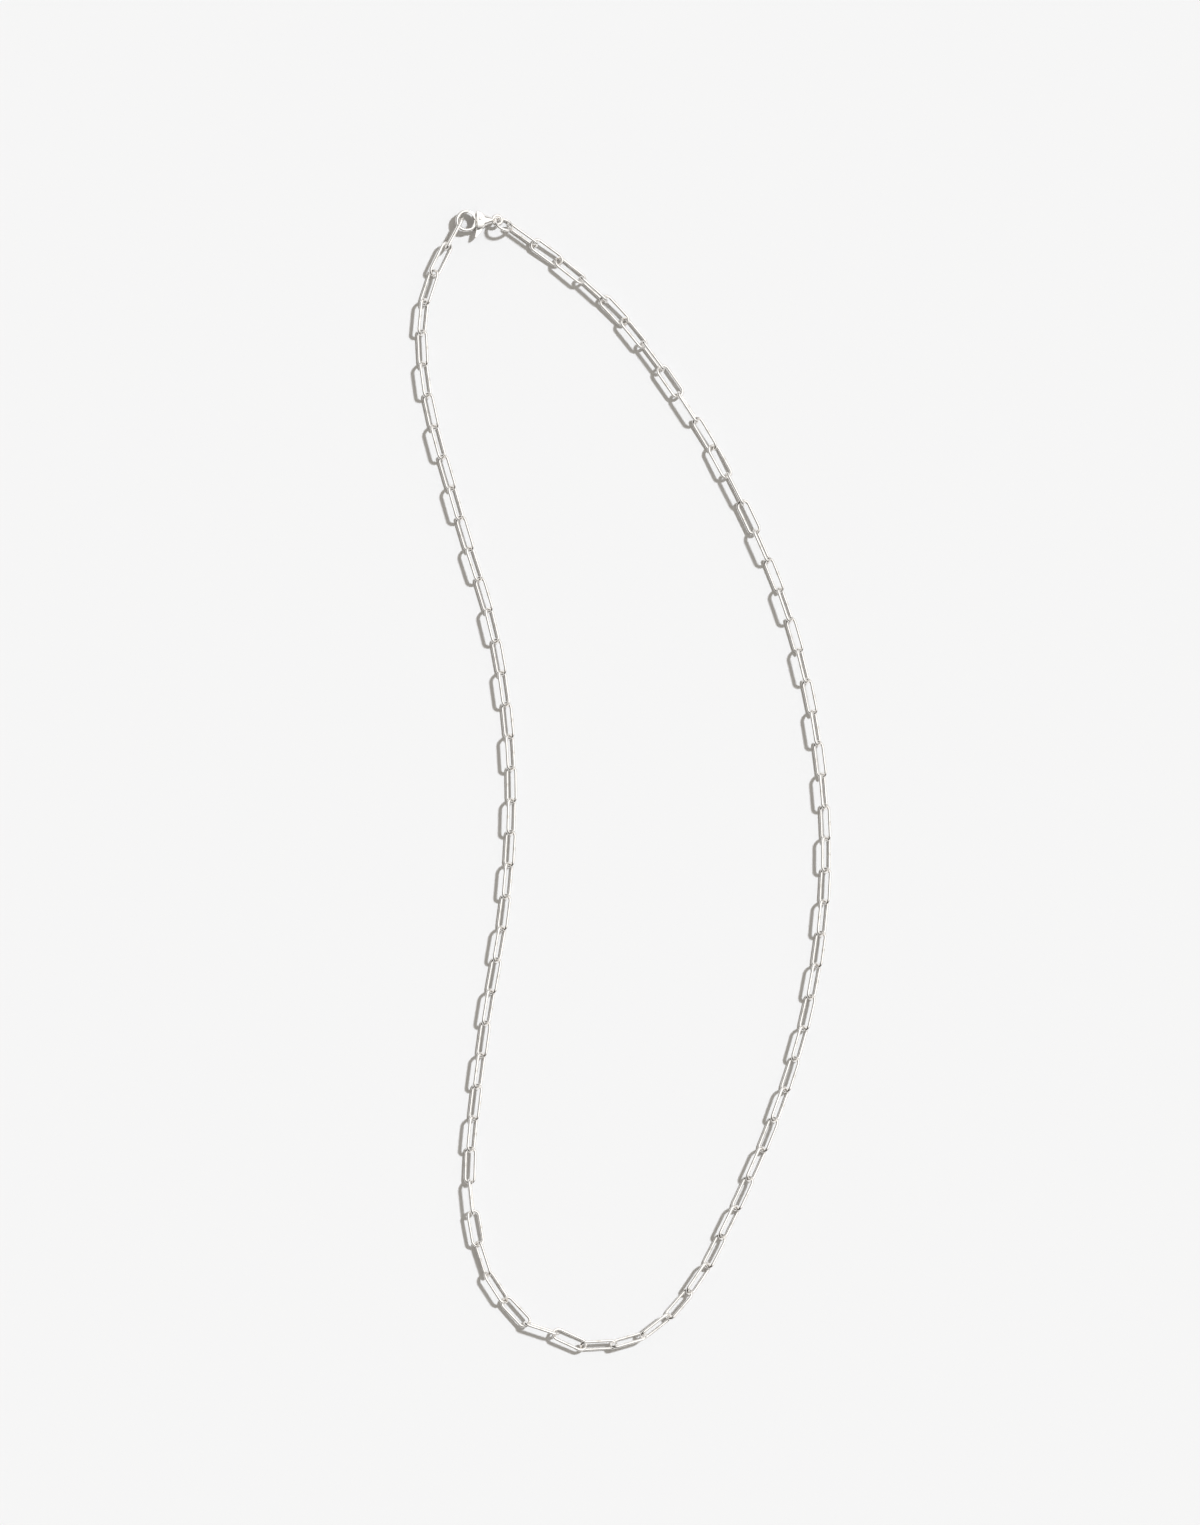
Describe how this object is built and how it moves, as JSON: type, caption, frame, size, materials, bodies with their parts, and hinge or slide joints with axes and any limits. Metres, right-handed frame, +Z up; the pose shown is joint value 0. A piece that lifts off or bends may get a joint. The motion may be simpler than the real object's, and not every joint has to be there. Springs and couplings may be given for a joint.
{
  "type": "chain necklace",
  "caption": "Fine cable chain necklace of long oval wire links, lying as a closed loop, with a jump ring and a lobster clasp whose sprung lever opens.",
  "frame": {"origin": "middle of the loop's outline, on the table it lies on", "axes": "+Z up from the table; +Y along the loop's length, towards the clasp; +X across the loop"},
  "size_m": [0.0818, 0.225, 0.0036],
  "materials": {
    "links": "polished silver",
    "ring": "polished silver",
    "clasp": "polished silver, cast",
    "lever": "polished silver",
    "pin": "polished silver"
  },
  "bodies": {
    "necklace": {"links_01_02": "links", "links_03_04": "links", "links_05_06": "links", "links_07_08": "links", "links_09_10": "links", "links_11_12": "links", "links_13_14": "links", "links_15_16": "links", "links_17_18": "links", "links_19_20": "links", "links_21_22": "links", "links_23_24": "links", "links_25_26": "links", "links_27_28": "links", "links_29_30": "links", "links_31_32": "links", "links_33_34": "links", "links_35_36": "links", "links_37_38": "links", "links_39_40": "links", "links_41_42": "links", "links_43_44": "links", "links_45_46": "links", "links_47_48": "links", "links_49_50": "links", "links_51_52": "links", "links_53_54": "links", "links_55_56": "links", "links_57_58": "links", "links_59_60": "links", "links_61_62": "links", "links_63_64": "links", "links_65_66": "links", "links_67_68": "links", "links_69_70": "links", "links_71_72": "links", "links_73_74": "links", "links_75_76": "links", "links_77_78": "links", "links_79_80": "links", "jump_ring": "ring", "clasp_body": "clasp", "lever_pin": "pin"},
    "lever": {"clasp_lever": "lever"}
  },
  "joints": [
    {"name": "lever_hinge", "type": "hinge", "parent": "necklace", "child": "lever", "pos_m": [-0.02826, 0.11073, 0.00143], "axis": [0, 0, 1], "range_deg": [0, 24], "stiffness_Nm_per_rad": 0.003, "springref_deg": -28.65}
  ]
}
